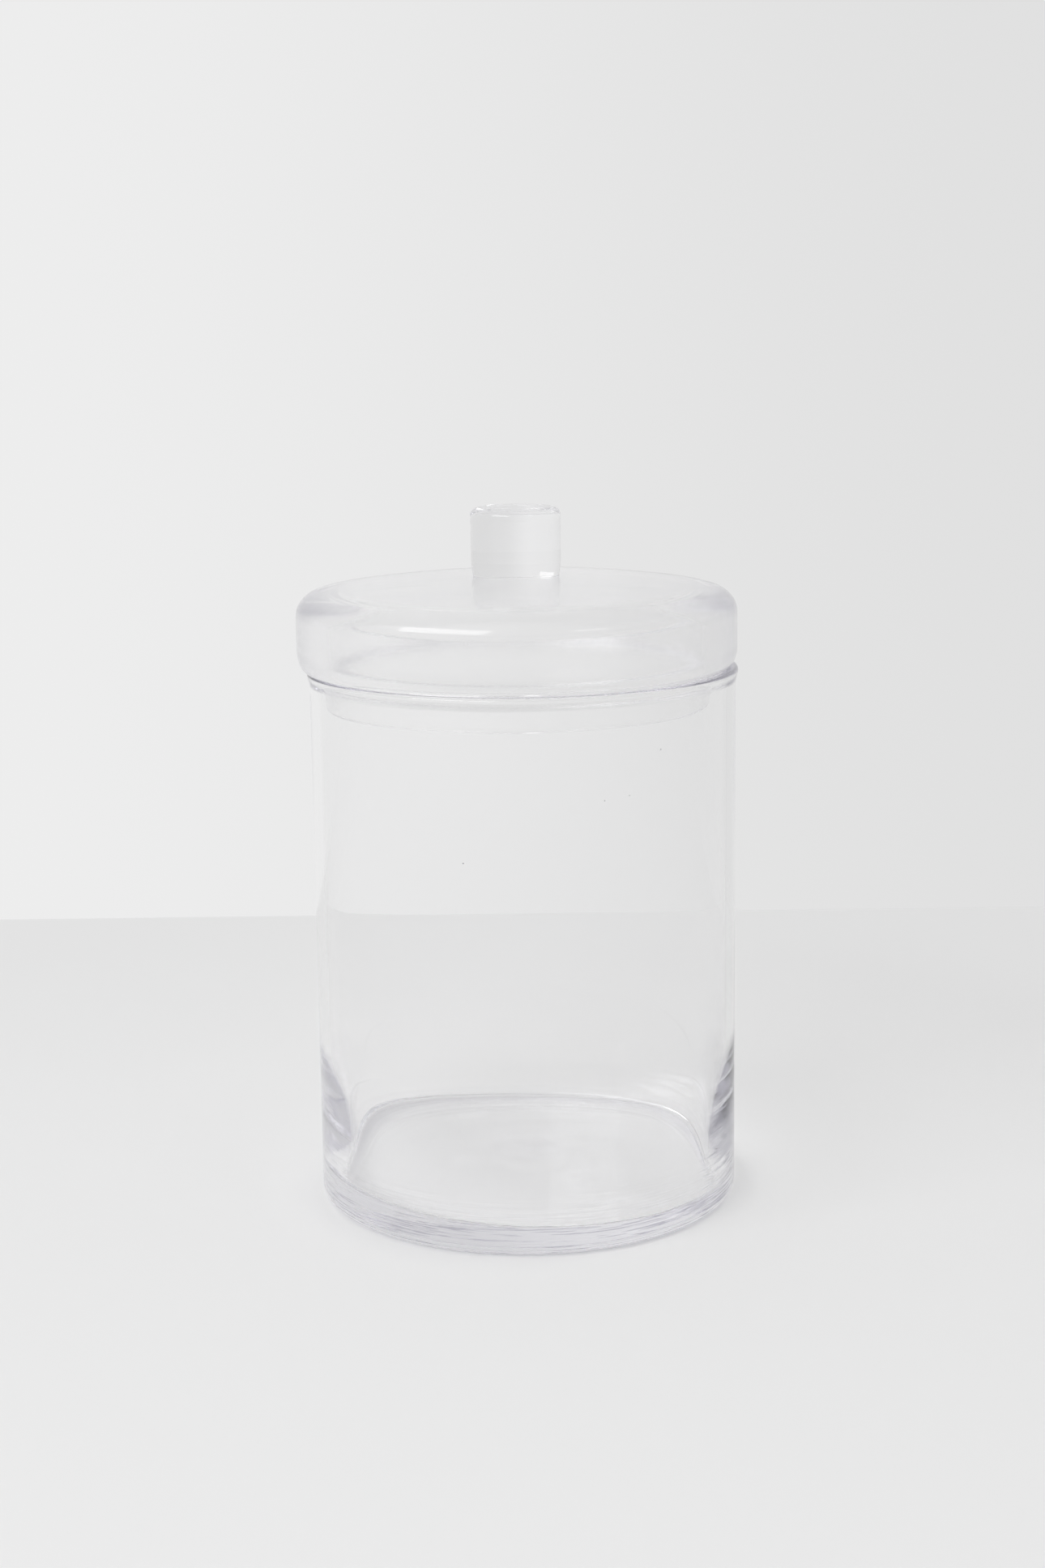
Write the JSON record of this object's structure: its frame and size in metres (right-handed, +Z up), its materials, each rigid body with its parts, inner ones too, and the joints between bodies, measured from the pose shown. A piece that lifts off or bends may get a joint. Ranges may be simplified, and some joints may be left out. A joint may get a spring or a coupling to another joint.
{
  "type": "specimen jar",
  "caption": "Clear glass cylinder jar with a heavy base and a loose lift-off glass lid that has a solid round knob.",
  "frame": {"origin": "centre of the jar's base, on the surface it stands on", "axes": "+Z up the jar's axis, towards the lid; the jar is round, so +X and +Y are any two sides, and the lid rests 1.9 mm towards -X"},
  "size_m": [0.155, 0.1546, 0.2472],
  "materials": {
    "jar_glass": "clear, fire-polished",
    "lid_glass": "clear, fire-polished",
    "knob_glass": "clear, fire-polished"
  },
  "bodies": {
    "jar": {"jar_body": "jar_glass"},
    "lid": {"lid_shell": "lid_glass", "lid_knob": "knob_glass"}
  },
  "joints": [
    {"name": "lid_lift", "type": "slide", "parent": "jar", "child": "lid", "axis": [0, 0, 1], "range_m": [0, 0.09]}
  ]
}
